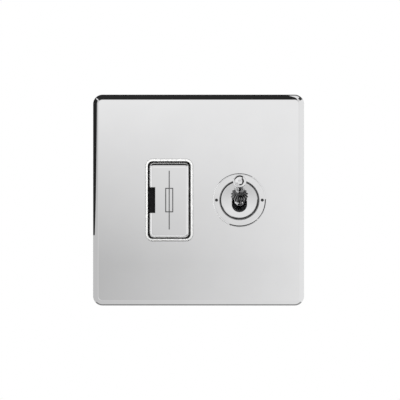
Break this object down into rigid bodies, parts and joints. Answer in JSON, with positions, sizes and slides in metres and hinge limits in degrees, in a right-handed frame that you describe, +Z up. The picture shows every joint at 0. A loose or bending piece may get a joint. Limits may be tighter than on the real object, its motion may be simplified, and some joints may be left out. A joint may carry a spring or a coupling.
{
  "type": "fused spur unit",
  "caption": "Square chrome wall plate with a hinged fuse carrier in a white surround and a fluted toggle switch; housing with terminals behind.",
  "frame": {"origin": "midway between the two wall fixing screws, in the wall plane", "axes": "+Y into the wall, +Z up, +X to the right as seen from the front"},
  "size_m": [0.09, 0.0515, 0.09],
  "materials": {
    "polished_chrome": "polished chrome plate",
    "white_moulding": "white moulded thermoset",
    "black_moulding": "black moulded plastic",
    "grey_moulding": "grey moulded nylon",
    "zinc_plated_steel": "zinc-plated steel",
    "bright_steel": "bright steel wire and pins",
    "brass": "plain brass",
    "fuse_ceramic": "white glazed ceramic",
    "nickel_cap": "nickel-plated cap"
  },
  "bodies": {
    "unit": {"front_plate": "polished_chrome", "plate_liner": "black_moulding", "mounting_frame": "zinc_plated_steel", "fixing_screws": "zinc_plated_steel", "frame_screws": "zinc_plated_steel", "fuse_bezel": "white_moulding", "carrier_hinge_pin": "bright_steel", "fuse_contact_feed": "brass", "fuse_contact_load": "brass", "toggle_bush": "polished_chrome", "toggle_ring": "polished_chrome", "lever_cross_pin": "bright_steel", "feed_live_strip": "brass", "feed_neutral_strip": "brass", "live_link_strip": "brass", "neutral_link_strip": "brass", "load_live_strip": "brass", "earth_strip": "brass", "terminal_feed_earth": "brass", "terminal_feed_live": "brass", "terminal_feed_neutral": "brass", "terminal_load_earth": "brass", "terminal_load_live": "brass", "terminal_load_neutral": "brass", "terminal_screws": "zinc_plated_steel", "rear_housing": "white_moulding", "rear_cover": "white_moulding", "cover_screws": "zinc_plated_steel"},
    "carrier": {"fuse_carrier": "black_moulding", "carrier_cover": "polished_chrome", "fuse_barrel": "fuse_ceramic", "fuse_cap_top": "nickel_cap", "fuse_cap_bottom": "nickel_cap"},
    "lever": {"toggle_lever": "polished_chrome", "lever_cradle": "grey_moulding", "plunger_live": "grey_moulding", "plunger_neutral": "grey_moulding", "spring_live": "bright_steel", "spring_neutral": "bright_steel"},
    "rockers": {"rocker_live": "brass", "rocker_neutral": "brass"}
  },
  "joints": [
    {"name": "carrier_hinge", "type": "hinge", "parent": "unit", "child": "carrier", "pos_m": [-0.0069, -0.0046, 0], "axis": [0, 0, 1], "range_deg": [0, 90]},
    {"name": "lever_tilt", "type": "hinge", "parent": "unit", "child": "lever", "pos_m": [0.0174, -0.0068, 0], "axis": [1, 0, 0], "range_deg": [0, 50]},
    {"name": "rocker_tilt", "type": "hinge", "parent": "unit", "child": "rockers", "pos_m": [0.0174, 0.0095, 0], "axis": [1, 0, 0], "range_deg": [-19, 0]}
  ],
  "couplings": [
    {"joint": "rocker_tilt", "follows": "lever_tilt", "ratio": -0.38}
  ]
}
